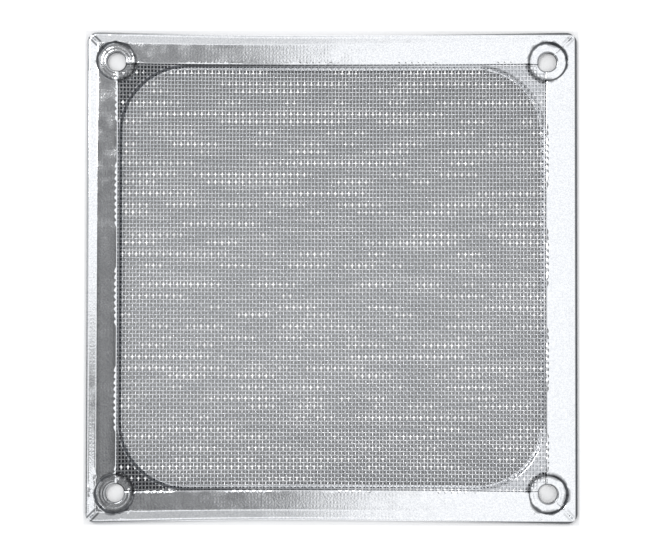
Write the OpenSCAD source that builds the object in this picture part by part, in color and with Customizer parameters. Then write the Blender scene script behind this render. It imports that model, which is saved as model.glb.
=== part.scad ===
// Wire-mesh guard for a 120 mm fan: woven wire cloth held in a frame of folded aluminium sheet.
//
// It lies on its rear face, the side that seats on the fan. +Z points out of the front face,
// where the four folded flaps, their corner seams and the pressed screw seats are. The origin
// is the centre of the rear face, in the plane that touches the fan.

/* [Overall] */
// Spacing of the screw holes, centre to centre, along both sides
hole_pitch = 105; // [85:0.5:130]
// From the centre of a screw hole to the outer edge
edge_margin = 7.2; // [6.5:0.1:9]

/* [Sheet] */
// Thickness of the aluminium sheet
sheet_t = 0.35; // [0.25:0.05:0.5]
// Height of the border above the rolled edge
raise_h = 1.1; // [0.8:0.05:1.5]
// Width of the slope between the rolled edge and the border
bevel_w = 1.35; // [1.1:0.05:1.6]
// Radius of the outer corners
corner_r = 2.5; // [2.5:0.1:4]

/* [Flaps] */
// Width of a flap, from the outer edge to its cut edge
flap_w = 7.7; // [7.3:0.1:9]
// Gap between two flaps along their corner seam
seam_gap = 0.25; // [0.1:0.05:0.5]

/* [Screw seats] */
// Diameter of a screw hole
hole_d = 4.5; // [3.5:0.1:5]
// Diameter of a pressed seat at its rim
seat_d = 9.7; // [8.5:0.1:10.2]
// Width of the sloping wall of a seat
seat_wall_w = 1; // [0.8:0.05:1.3]

/* [Opening] */
// Corner radius of the opening, at the top of the step around it
opening_r = 17; // [12:0.5:22]
// Depth of the step that lets the wire cloth down into the opening
step_h = 0.5; // [0.3:0.05:0.6]
// Width of the step's slope
step_w = 0.85; // [0.8:0.05:1.2]
// Width of the flat rim at the foot of the step
rim_w = 0.3; // [0.2:0.05:0.6]

/* [Wire cloth] */
// Diameter of a wire
wire_d = 0.25; // [0.15:0.01:0.3]
// Spacing of the warp wires, which run along Y
warp_pitch = 0.833; // [0.6:0.001:1.5]
// Spacing of the weft wires, which run along X
weft_pitch = 0.922; // [0.6:0.001:1.5]
// From the outer edge of the frame to the cut edge of the wire cloth
cloth_inset = 3.2; // [3:0.1:4]

/* [Hidden] */

$fn = 64;

// Side of the square section that has the same area as a round wire
wire_side = wire_d * sqrt(PI) / 2;
// Clear space between the wire cloth and the sheet on either side of it
cloth_clear = 0.05;
// Clear space between a warp wire and the weft wires under it
layer_clear = 0.05;
// Clear space that the punched cloth leaves round a screw hole
hole_clear = 0.4;
// Shortest straight piece of a wire
piece_min = 0.08;
// Longest straight piece of a wire where it follows a curved slope
chord = 0.8;
// How far a cutter reaches past what it cuts
past = 1;

// Heights above the rear surface of the face plate, measured square to the sheet
cloth_t = 2 * wire_d + layer_clear + 2 * cloth_clear;
face_top = sheet_t;
flap_under = sheet_t + cloth_t;
flap_top = 2 * sheet_t + cloth_t;
weft_h = face_top + cloth_clear + wire_d / 2;
warp_h = weft_h + wire_d + layer_clear;

// Half the width of the frame, and of the square left between the flaps
frame_half = hole_pitch / 2 + edge_margin;
flap_half = frame_half - flap_w;
hole_at = hole_pitch / 2;
cloth_half = frame_half - cloth_inset;

// Radius of the rolled edge
roll_r = flap_top / 2;
// From the middle of the frame to the centre of an opening corner's arc
opening_at = flap_half - opening_r;

// How far a slope moves sideways for each unit of height square to the sheet
bevel_shift = slope_shift(raise_h, bevel_w);
seat_shift = slope_shift(raise_h, seat_wall_w);
step_shift = slope_shift(step_h, step_w);

// Foot of the bevel on the rear surface, so that it clears the rolled edge on the front surface
bevel_foot = roll_r + 0.03 + flap_top * bevel_shift;
// Radius of the outer corners, wide enough for the bevel to run round them
edge_r = max(corner_r, next_hundredth(bevel_foot + bevel_w));
// From the middle of the frame to the centre of an outer corner's arc
edge_at = frame_half - edge_r;
// Radius of a seat's rim on the rear surface
seat_r = seat_d / 2 + flap_top * seat_shift;
// Flat land of the face plate that the step is joined to
step_land = 0.5;

function slope_shift(rise, run) = tan(atan2(rise, run) / 2);

function clamp01(v) = min(max(v, 0), 1);

// The next hundredth of a millimetre, so that faces that join lie in one plane
function next_hundredth(v) = floor(100 * v + 1) / 100;

// Distance of a point in the first quadrant from the core of the rounded opening
function opening_dist(x, y) = norm([max(x - opening_at, 0), max(y - opening_at, 0)]);

// Height of the skin that lies h above the rear surface, inside the bevel
function skin_z(x, y, h) =
    h + raise_h
    - step_h * clamp01((opening_r - h * step_shift - opening_dist(x, y)) / step_w)
    - raise_h * clamp01((seat_r - h * seat_shift - norm([x - hole_at, y - hole_at])) / seat_wall_w);

// Sweeps a profile round a rounded square. The profile's X is the distance outward from
// the corner centres, which lie `at` from the middle, and its Y is the height.
module around(at) {
    for (turn = [0:90:270]) rotate([0, 0, turn]) {
        translate([at, at, 0]) rotate([90, 0, 0]) linear_extrude(height = 2 * at) children();
        translate([at, at, 0]) rotate_extrude(angle = 90) children();
    }
}

// A rounded square plate between two heights
module rounded_plate(at, r, z0, z1) {
    around(at) translate([0, z0]) square([r, z1 - z0]);
    translate([-at, -at, z0]) cube([2 * at, 2 * at, z1 - z0]);
}

// Repeats something at the four screw holes
module at_holes() {
    for (sx = [-1, 1], sy = [-1, 1]) translate([sx * hole_at, sy * hole_at, 0]) children();
}

// Everything under the skin that lies h above the rear surface; `more` widens it for cutting
module under_skin(h, more = 0) {
    foot = edge_r - bevel_foot + h * bevel_shift;
    edge = edge_r - roll_r + more;
    floor_r = seat_r - seat_wall_w - h * seat_shift;
    difference() {
        union() {
            around(edge_at) polygon([
                [0, -past - more], [edge, -past - more], [edge, h],
                [foot, h], [foot - bevel_w, h + raise_h], [0, h + raise_h]
            ]);
            translate([-edge_at, -edge_at, -past - more])
                cube([2 * edge_at, 2 * edge_at, past + more + h + raise_h]);
        }
        at_holes() translate([0, 0, h])
            cylinder(h = 2 * raise_h, r1 = floor_r, r2 = floor_r + 2 * seat_wall_w);
    }
}

// One thickness of formed sheet, between two heights square to the rear surface
module formed_sheet(h0, h1) {
    difference() {
        under_skin(h1);
        under_skin(h0, past);
    }
}

// The step and rim that the face plate forms round the opening
module opening_step() {
    top = opening_r - face_top * step_shift;
    rim = opening_r - step_w - rim_w;
    around(opening_at) polygon([
        [opening_r + step_land, raise_h], [opening_r, raise_h],
        [opening_r - step_w, raise_h - step_h], [rim, raise_h - step_h],
        [rim, raise_h - step_h + sheet_t], [top - step_w, raise_h - step_h + sheet_t],
        [top, raise_h + sheet_t], [opening_r + step_land, raise_h + sheet_t]
    ]);
}

// The face plate, with its rounded opening
module face_plate() {
    difference() {
        formed_sheet(0, face_top);
        rounded_plate(opening_at, opening_r + step_land, -past, raise_h + face_top + past);
    }
    opening_step();
}

// The half round along the outer edge, where the sheet turns back over the cloth
module rolled_edge() {
    around(edge_at) translate([edge_r - roll_r, roll_r]) difference() {
        circle(r = roll_r);
        circle(r = roll_r - sheet_t);
        translate([-past - roll_r, -past - roll_r]) square([past + roll_r, 2 * (past + roll_r)]);
    }
}

// The four flaps, which meet at seams on the diagonals
module flaps() {
    difference() {
        formed_sheet(flap_under, flap_top);
        translate([-flap_half, -flap_half, 0]) cube([2 * flap_half, 2 * flap_half, 2 * (raise_h + flap_top)]);
        for (turn = [45:90:315]) rotate([0, 0, turn])
            translate([flap_half, -seam_gap / 2, 0])
                cube([frame_half, seam_gap, 2 * (raise_h + flap_top)]);
    }
}

module frame() {
    color("#d5d8dc") difference() {
        union() {
            face_plate();
            rolled_edge();
            flaps();
        }
        at_holes() translate([0, 0, -past]) cylinder(h = raise_h + flap_top + 2 * past, d = hole_d);
    }
}

// Half the chord that a line at distance d from the centre cuts from a circle
function half_chord(r, d) = sqrt(max(r * r - d * d, 0));

// Places from y0 to y1, close enough together to follow a curved slope
function stretch(y0, y1) =
    let (n = max(ceil((y1 - y0) / chord), 1))
    [for (i = [0:n]) y0 + (y1 - y0) * i / n];

// Places where a wire at distance a from the middle crosses the step round the opening
function step_places(a, h) =
    let (r = opening_r - h * step_shift, d = max(a - opening_at, 0))
    d < r ? stretch(opening_at + half_chord(r - step_w, d), opening_at + half_chord(r, d)) : [];

// The slope of the seat that a wire goes down on its way to the screw hole
function seat_down(a, h) =
    let (r = seat_r - h * seat_shift, d = abs(a - hole_at))
    d < r ? stretch(hole_at - half_chord(r, d), hole_at - half_chord(r - seat_wall_w, d)) : [];

// The slope that it climbs beyond the screw hole
function seat_up(a, h) = [for (i = [len(seat_down(a, h)) - 1:-1:0]) 2 * hole_at - seat_down(a, h)[i]];

// Half the length that the punched hole takes out of a wire
function hole_gap(a) = half_chord(hole_d / 2 + hole_clear, a - hole_at);

// Drops the places that lie past the cut edge of the cloth, or too close together to bend at
function spaced(places) =
    [for (i = [0:len(places) - 1])
        if (places[i] < cloth_half - piece_min
            && (i == 0 || places[i] - places[i - 1] > piece_min)) places[i]];

// The run of a wire from the middle to the cut edge, or to the screw hole if it meets one
function inner_places(a, h) =
    hole_gap(a) > 0
    ? concat(spaced(concat(step_places(a, h), seat_down(a, h))), hole_at - hole_gap(a))
    : concat(spaced(concat(step_places(a, h), seat_down(a, h), seat_up(a, h))), cloth_half);

// The short run from the screw hole to the cut edge
function outer_places(a, h) = concat(hole_at + hole_gap(a), spaced(seat_up(a, h)), cloth_half);

// Puts places along a wire on the skin that lies h above the rear surface
function on_skin(a, h, places) = [for (y = places) [y, skin_z(a, y, h)]];

// The same run on the other side of the middle, in the other order
function mirrored(run) = [for (i = [len(run) - 1:-1:0]) [-run[i][0], run[i][1]]];

// Direction of the piece of a run that starts at corner i
function heading(run, i) = let (v = run[i + 1] - run[i]) atan2(v[1], v[0]);

// A run moved sideways, so that each of its pieces stays parallel
function beside(run, off) =
    let (last = len(run) - 1)
    [for (i = [0:last])
        let (from = heading(run, max(i - 1, 0)), to = heading(run, min(i, last - 1)))
        run[i] + off / cos((to - from) / 2) * [-sin((from + to) / 2), cos((from + to) / 2)]];

// A wire in the XZ plane along a list of corners
module wire(run) {
    lower = beside(run, -wire_side / 2);
    upper = beside(run, wire_side / 2);
    rotate([90, 0, 0]) linear_extrude(height = wire_side, center = true)
        polygon(concat(lower, [for (i = [len(run) - 1:-1:0]) upper[i]]));
}

// All wires of one direction, laid along X, at the height h above the rear surface
module wire_layer(pitch, h) {
    count = floor((cloth_half - wire_d) / pitch);
    for (i = [-count:count]) translate([0, i * pitch, 0]) {
        a = abs(i * pitch);
        inner = on_skin(a, h, inner_places(a, h));
        wire(concat(mirrored(inner), inner));
        if (hole_gap(a) > 0) {
            outer = on_skin(a, h, outer_places(a, h));
            wire(outer);
            wire(mirrored(outer));
        }
    }
}

module warp_wires() {
    color("#a9abae") rotate([0, 0, 90]) wire_layer(warp_pitch, warp_h);
}

module weft_wires() {
    color("#8f9194") wire_layer(weft_pitch, weft_h);
}

frame();
warp_wires();
weft_wires();
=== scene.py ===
"""Looks of a wire-mesh fan guard: woven aluminium wire cloth in a frame of folded sheet.

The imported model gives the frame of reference. Each sub-assembly is a class that builds its
meshes and dresses them, and main runs them in order. Sizes are in millimetres until a mesh is
made, and +Z points out of the front of the guard.
"""

from __future__ import annotations

import logging
import math
from dataclasses import dataclass, field
from enum import Enum
from functools import partial
from typing import Any, Callable, Iterator, Sequence

import bpy
import numpy as np
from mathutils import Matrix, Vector
from mathutils.geometry import delaunay_2d_cdt

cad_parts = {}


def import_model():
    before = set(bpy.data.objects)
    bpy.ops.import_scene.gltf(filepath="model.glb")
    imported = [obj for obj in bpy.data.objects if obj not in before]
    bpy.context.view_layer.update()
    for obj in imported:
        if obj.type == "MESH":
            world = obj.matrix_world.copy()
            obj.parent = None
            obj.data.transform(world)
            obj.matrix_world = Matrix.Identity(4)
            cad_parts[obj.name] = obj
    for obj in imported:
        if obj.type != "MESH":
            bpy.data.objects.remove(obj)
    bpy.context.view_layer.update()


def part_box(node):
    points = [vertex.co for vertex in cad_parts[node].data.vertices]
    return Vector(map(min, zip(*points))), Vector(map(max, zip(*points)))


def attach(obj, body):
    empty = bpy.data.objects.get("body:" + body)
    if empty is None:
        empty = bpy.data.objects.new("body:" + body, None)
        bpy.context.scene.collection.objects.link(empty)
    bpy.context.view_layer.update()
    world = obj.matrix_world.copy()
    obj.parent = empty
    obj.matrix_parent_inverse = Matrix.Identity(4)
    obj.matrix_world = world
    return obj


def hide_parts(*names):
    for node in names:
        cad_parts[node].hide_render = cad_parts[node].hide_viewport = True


LOG = logging.getLogger("fan_guard")
MM = 0.001
MATHS, VECTOR_MATHS, RANGE = "ShaderNodeMath", "ShaderNodeVectorMath", "ShaderNodeMapRange"
NOISE, MIX = "ShaderNodeTexNoise", "ShaderNodeMix"
JOIN, PARTS = "ShaderNodeCombineXYZ", "ShaderNodeSeparateXYZ"
# A few numbers that belong together. For a Map Range node: where a value starts and ends, and
# what it becomes there, which is 0 and 1 if it isn't given
Span = tuple[float, ...]


def linear(code: str) -> tuple[float, float, float, float]:
    """Turns an sRGB hex colour into linear values.

    Args:
        code: The colour, such as "#d5d8dc".

    Returns:
        Red, green, blue and alpha for a colour socket.
    """
    levels = [int(code[i : i + 2], 16) / 255 for i in (1, 3, 5)]
    red, green, blue = (v / 12.92 if v <= 0.04045 else ((v + 0.055) / 1.055) ** 2.4 for v in levels)
    return red, green, blue, 1.0


def live_socket(sockets: Any, key: int | str) -> bpy.types.NodeSocket:
    """Finds a socket, by name or place, among those that a node's settings leave in use."""
    live = [socket for socket in sockets if socket.enabled]
    return live[key] if isinstance(key, int) else next(s for s in live if s.name == key)


def add_node(
    tree: bpy.types.NodeTree, kind: str, feeds: Sequence[Any] | dict[str, Any] = (),
    operation: str = "", **settings: Any,
) -> bpy.types.Node:
    """Adds a node with its settings and links.

    Args:
        tree: The tree that the node joins.
        kind: The node's type, such as "ShaderNodeMath".
        feeds: What goes into its sockets, in order or by name. A node feeds its first output,
            a socket feeds itself, None leaves a socket alone and anything else is a value.
        operation: What a maths node does.
        settings: Other properties of the node.

    Returns:
        The node.
    """
    node = tree.nodes.new(kind)
    if operation:
        node.operation = operation
    for name, value in settings.items():
        setattr(node, name, value)
    for key, value in feeds.items() if isinstance(feeds, dict) else enumerate(feeds):
        if isinstance(value, bpy.types.Node):
            value = live_socket(value.outputs, 0)
        if isinstance(value, bpy.types.NodeSocket):
            tree.links.new(value, live_socket(node.inputs, key))
        elif value is not None:
            live_socket(node.inputs, key).default_value = value
    return node


def off_mark(add: Callable[..., bpy.types.Node], value: Any, mark: float) -> bpy.types.Node:
    """Adds the nodes that measure how far a value lies from a mark, to either side."""
    off = add(MATHS, [value, mark], "SUBTRACT")
    return add(MATHS, [off], "ABSOLUTE")


def beyond_square(add: Callable[..., bpy.types.Node], spot: Any, corner: Any) -> bpy.types.Node:
    """Adds the nodes that measure how far a spot lies outside a square about the middle.

    Args:
        add: Adds a node to the tree.
        spot: The spot, moved to the first quarter.
        corner: The square's corner in that quarter.

    Returns:
        The node that gives the distance.
    """
    past = add(VECTOR_MATHS, [spot, corner], "SUBTRACT")
    outside = add(VECTOR_MATHS, [past, (0, 0, 0)], "MAXIMUM")
    return add(VECTOR_MATHS, [outside], "LENGTH")


def put(name: str, data: bpy.types.ID) -> bpy.types.Object:
    """Makes an object and links it to the scene.

    Args:
        name: Name of the object.
        data: The mesh, lamp or camera that it shows.

    Returns:
        The object.
    """
    made = bpy.data.objects.new(name, data)
    bpy.context.scene.collection.objects.link(made)
    return made


def smooth(t: np.ndarray) -> np.ndarray:
    """Rises from 0 to 1 with level ends, as t does."""
    t = np.clip(t, 0, 1)
    return t * t * (3 - 2 * t)


def slope(t: np.ndarray, ends: float = 0.2) -> np.ndarray:
    """Rises from 0 to 1 along a straight slope with rounded ends.

    Args:
        t: Places, where the rise starts at 0 and ends at 1.
        ends: Share of the rise that each rounded end takes.

    Returns:
        The heights.
    """
    t = np.clip(t, 0, 1)
    foot = t * t / (2 * ends)
    middle = t - ends / 2
    top = 1 - ends - (1 - t) ** 2 / (2 * ends)
    return np.where(t < ends, foot, np.where(t < 1 - ends, middle, top)) / (1 - ends)


def upright(x: float, y: np.ndarray) -> np.ndarray:
    """Gives points at the same X, as rows of X and Y."""
    return np.stack([np.full(len(y), x), y], axis=1)


def round_about(turn: np.ndarray) -> np.ndarray:
    """Gives points on a circle of radius 1, as rows of X and Y."""
    return np.stack([np.cos(turn), np.sin(turn)], axis=1)


def quarter_turns(points: np.ndarray, turns: int) -> np.ndarray:
    """Turns rows of X and Y, with or without Z, anticlockwise about Z by whole quarter turns.

    Args:
        points: The rows.
        turns: How many quarter turns.

    Returns:
        The turned rows.
    """
    for _ in range(turns):
        points = np.c_[-points[:, 1], points[:, 0], points[:, 2:]]
    return points


@dataclass(frozen=True)
class GuardForm:
    """The shape that the sheet and the cloth follow. All lengths are in millimetres."""

    half: float
    corner_r: float = 2.54
    hole_at: float = 52.5
    hole_r: float = 2.25
    flap_half: float = 52.0
    sheet_t: float = 0.35
    plate_mid: float = 0.175
    cloth_mid: float = 0.675
    flap_mid: float = 1.175
    roll_r: float = 0.675
    raise_h: float = 1.1
    bevel_foot: float = 0.7
    bevel_w: float = 2.2
    seat_r: float = 5.6
    seat_wall_w: float = 0.62
    seat_shift: float = 0.55
    wall_stretch: float = 1.7
    opening_at: float = 35.0
    opening_r: float = 17.05
    step_h: float = 0.5
    step_w: float = 0.95
    step_shift: float = 0.275
    rim_r: float = 15.75
    # A flap's raised lip and sheared edge, the hole's rolled rim and the faint rings about it
    lip_w: float = 2.2
    lip_rise: float = 0.05
    shear_w: float = 0.1
    shear_drop: float = 0.06
    rim_w: float = 0.4
    rim_drop: float = 0.17
    ripple_at: float = 2.6
    ripple_w: float = 0.8
    ripple_h: float = 0.008
    ripples: int = 2
    # How far the sides are drawn in, where the bow's middle and ends are, and how it fades
    bow_top: float = 0.7
    bow_bottom: float = 0.8
    bow_at: float = -10.0
    bow_end: float = 4.0
    bow_fade: int = 4
    slope_reach: float = 0.01

    def inset(self, at: np.ndarray) -> np.ndarray:
        """Measures how far places, as rows of X and Y, lie inside the rounded outline."""
        past = np.abs(at.T) - (self.half - self.corner_r)
        return self.corner_r - np.hypot(*np.maximum(past, 0)) - np.minimum(past.max(axis=0), 0)

    def from_core(self, at: np.ndarray) -> np.ndarray:
        """Measures how far places lie from the opening's core, a square with sharp corners."""
        return np.hypot(*np.maximum(np.abs(at.T) - self.opening_at, 0))

    def from_hole(self, at: np.ndarray) -> np.ndarray:
        """Measures how far places lie from the middle of the nearest screw hole."""
        return np.hypot(*(np.abs(at.T) - self.hole_at))

    def skin(self, at: np.ndarray, level: float) -> np.ndarray:
        """Gives the height of a layer of the guard.

        Args:
            at: Places, as rows of X and Y.
            level: Height of the layer above the rear surface, square to the sheet.

        Returns:
            The heights along Z.
        """
        bevel = slope((self.inset(at) - self.bevel_foot) / self.bevel_w)
        seat_foot = self.seat_r - self.seat_wall_w - self.seat_shift * level
        seat = smooth((self.from_hole(at) - seat_foot) / self.seat_wall_w)
        step_top = self.opening_r - self.step_shift * level
        step = smooth((step_top - self.from_core(at)) / self.step_w)
        return level + self.raise_h * bevel * seat - self.step_h * step

    def flap_drop(self, at: np.ndarray) -> np.ndarray:
        """Gives how far the upper surface of a flap lies below the height of its raised lip.

        Args:
            at: Places, as rows of X and Y.

        Returns:
            The drops.
        """
        from_edge = np.abs(at).max(axis=1) - self.flap_half
        lip = 1 - (1 - np.clip(from_edge / self.lip_w, 0, 1)) ** 2
        sheared = (1 - np.clip(from_edge / self.shear_w, 0, 1)) ** 2
        on_bevel = smooth((self.inset(at) - self.bevel_foot) / self.bevel_w)
        from_hole = self.from_hole(at)
        rim = (1 - np.clip((from_hole - self.hole_r) / self.rim_w, 0, 1)) ** 2
        turn = np.clip((from_hole - self.ripple_at) / self.ripple_w, 0, self.ripples) * 2 * math.pi
        ripple = self.ripple_h * (1 - np.cos(turn))
        return self.lip_rise * lip * on_bevel + self.shear_drop * sheared + self.rim_drop * rim + ripple

    def surfaces(self, flat: np.ndarray, level: float) -> tuple[np.ndarray, np.ndarray]:
        """Lays a flat pattern on a layer and gives it the sheet's thickness.

        Args:
            flat: Rows of X and Y.
            level: Height of the middle of the sheet.

        Returns:
            The upper and the lower surface, as rows of X, Y and Z.
        """
        dx, dy = (
            (self.skin(flat + step, level) - self.skin(flat - step, level)) / (2 * self.slope_reach)
            for step in self.slope_reach * np.eye(2)
        )
        half = self.sheet_t / 2 * np.minimum(np.sqrt(1 + dx**2 + dy**2), self.wall_stretch)
        middle = self.skin(flat, level)
        drop = self.flap_drop(flat) if level == self.flap_mid else 0
        ceiling = self.flap_mid + self.raise_h + self.sheet_t / 2
        upper = np.minimum(middle + half, ceiling) - drop
        return np.c_[flat, upper], np.c_[flat, np.maximum(middle - half, 0)]

    def bowed(self, points: np.ndarray) -> np.ndarray:
        """Draws the top and bottom sides in a little at their middles, as the cloth's pull does.

        Args:
            points: Rows of X, Y and Z.

        Returns:
            The moved points.
        """
        from_middle, y = points[:, 0] - self.bow_at, points[:, 1]
        room = self.half - self.bow_end - np.sign(from_middle) * self.bow_at
        span = np.clip(np.abs(from_middle) / room, 0, 1)
        pull = (1 - span**2) * (np.abs(y) / self.half) ** self.bow_fade
        moved = points.copy()
        moved[:, 1] -= pull * np.where(y > 0, self.bow_top, -self.bow_bottom)
        return moved


@dataclass
class MeshParts:
    """Vertices and faces gathered for one mesh, in millimetres."""

    points: list[np.ndarray] = field(default_factory=list)
    faces: list[tuple[int, ...]] = field(default_factory=list)
    count: int = 0
    # Vertices this near become one
    weld: float = 0.002
    sharp_angle: float = 50.0

    def add(self, points: np.ndarray, faces: np.ndarray | Sequence[Sequence[int]]) -> None:
        """Adds a group of vertices with the faces between them.

        Args:
            points: Rows of X, Y and Z.
            faces: Vertex numbers within the group, anticlockwise from outside.
        """
        self.points.append(points)
        self.faces.extend(tuple(int(v) + self.count for v in face) for face in faces)
        self.count += len(points)

    def to_mesh(self, name: str, form: GuardForm) -> bpy.types.Mesh:
        """Joins the groups into one mesh whose shared edges are welded.

        Args:
            name: Name of the mesh.
            form: The guard's shape, for the bow of its sides.

        Returns:
            The mesh, in metres.
        """
        points = np.concatenate(self.points)
        keys = np.round(points / self.weld).astype(np.int64)
        _, first, place = np.unique(keys, axis=0, return_index=True, return_inverse=True)
        place = place.reshape(-1).tolist()
        faces = [[place[v] for v in face] for face in self.faces]
        mesh = bpy.data.meshes.new(name)
        kept = [face for face in faces if len(set(face)) == len(face)]
        mesh.from_pydata((form.bowed(points)[first] * MM).tolist(), [], kept)
        mesh.validate()
        mesh.shade_smooth()
        mesh.set_sharp_from_angle(angle=math.radians(self.sharp_angle))
        return mesh


def edges_of(loops: Sequence[np.ndarray]) -> Iterator[tuple[np.ndarray, np.ndarray]]:
    """Gives the start and end of every edge of closed loops."""
    return (edge for loop in loops for edge in zip(loop, np.roll(loop, -1, axis=0)))


def within(points: np.ndarray, loops: Sequence[np.ndarray]) -> np.ndarray:
    """Tells which points lie inside an outline with holes.

    Args:
        points: Rows of X and Y.
        loops: Closed loops, the outline and its holes.

    Returns:
        True for each point inside.
    """
    crossings = np.zeros(len(points), dtype=int)
    x, y = points.T
    for (x0, y0), (x1, y1) in edges_of(loops):
        if y0 != y1:
            spans = (y > min(y0, y1)) & (y <= max(y0, y1))
            crossings += spans & (x < x0 + (y - y0) * (x1 - x0) / (y1 - y0))
    return crossings % 2 == 1


def edge_gap(points: np.ndarray, loops: Sequence[np.ndarray]) -> np.ndarray:
    """Measures how near points lie to the edges of loops.

    Args:
        points: Rows of X and Y.
        loops: Closed loops.

    Returns:
        The distance of each point to its nearest edge.
    """
    nearest = np.full(len(points), np.inf)
    for start, end in edges_of(loops):
        run = end - start
        t = np.clip((points - start) @ run / (run @ run), 0, 1)
        nearest = np.minimum(nearest, np.linalg.norm(points - start - t[:, None] * run, axis=1))
    return nearest


def thinned(points: np.ndarray, cell: float = 0.09) -> np.ndarray:
    """Keeps the first point in each cell of a fine grid, so that no two all but meet."""
    _, first = np.unique(np.round(points / cell).astype(np.int64), axis=0, return_index=True)
    return points[np.sort(first)]


@dataclass
class SheetPatch:
    """A flat blank of sheet that is triangulated, then laid on a layer of the guard."""

    loops: list[np.ndarray]
    seeds: np.ndarray
    level: float
    # How far the seeds keep from the edges, and what counts as the same place
    margin: float = 0.08
    same: float = 1e-4
    same_seed: float = 1e-7

    def triangles(self) -> tuple[np.ndarray, np.ndarray]:
        """Triangulates the blank.

        Returns:
            The points, as rows of X and Y, and the triangles, anticlockwise.
        """
        seeds = thinned(self.seeds)
        seeds = seeds[within(seeds, self.loops)]
        seeds = seeds[edge_gap(seeds, self.loops) > self.margin]
        points = np.concatenate([*self.loops, seeds])
        edges, base = [], 0
        for loop in self.loops:
            edges += [(base + i, base + (i + 1) % len(loop)) for i in range(len(loop))]
            base += len(loop)
        found = delaunay_2d_cdt([Vector(p) for p in points.tolist()], edges, [], 0, self.same_seed)
        flat = np.array([tuple(v) for v in found[0]])
        faces = np.array([f for f in found[2] if len(f) == 3])
        faces = faces[within(flat[faces].mean(axis=1), self.loops)]
        a, b, c = (flat[faces[:, i]] for i in range(3))
        turned = (b[:, 0] - a[:, 0]) * (c[:, 1] - a[:, 1]) < (b[:, 1] - a[:, 1]) * (c[:, 0] - a[:, 0])
        faces[turned] = faces[turned][:, ::-1]
        return flat, faces

    def lay(self, parts: MeshParts, form: GuardForm, turns: Sequence[int] = (0,)) -> None:
        """Adds the sheet to a mesh, open where it meets the rolled edge.

        Args:
            parts: The mesh's parts.
            form: The guard's shape.
            turns: Quarter turns at which the blank is repeated.
        """
        flat, faces = self.triangles()
        corners = np.concatenate([faces[:, [0, 1]], faces[:, [1, 2]], faces[:, [2, 0]]])
        pairs = {(int(a), int(b)) for a, b in corners}
        rolled = np.abs(form.inset(flat) - form.roll_r) < self.same
        rims = [(a, b) for a, b in pairs if (b, a) not in pairs and not (rolled[a] and rolled[b])]
        count = len(flat)
        upper, lower = form.surfaces(flat, self.level)
        walls = [(a + count, b + count, b, a) for a, b in sorted(rims)]
        for turn in turns:
            turned = quarter_turns(np.concatenate([upper, lower]), turn)
            parts.add(turned, [*faces, *(faces[:, ::-1] + count), *walls])


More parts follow.
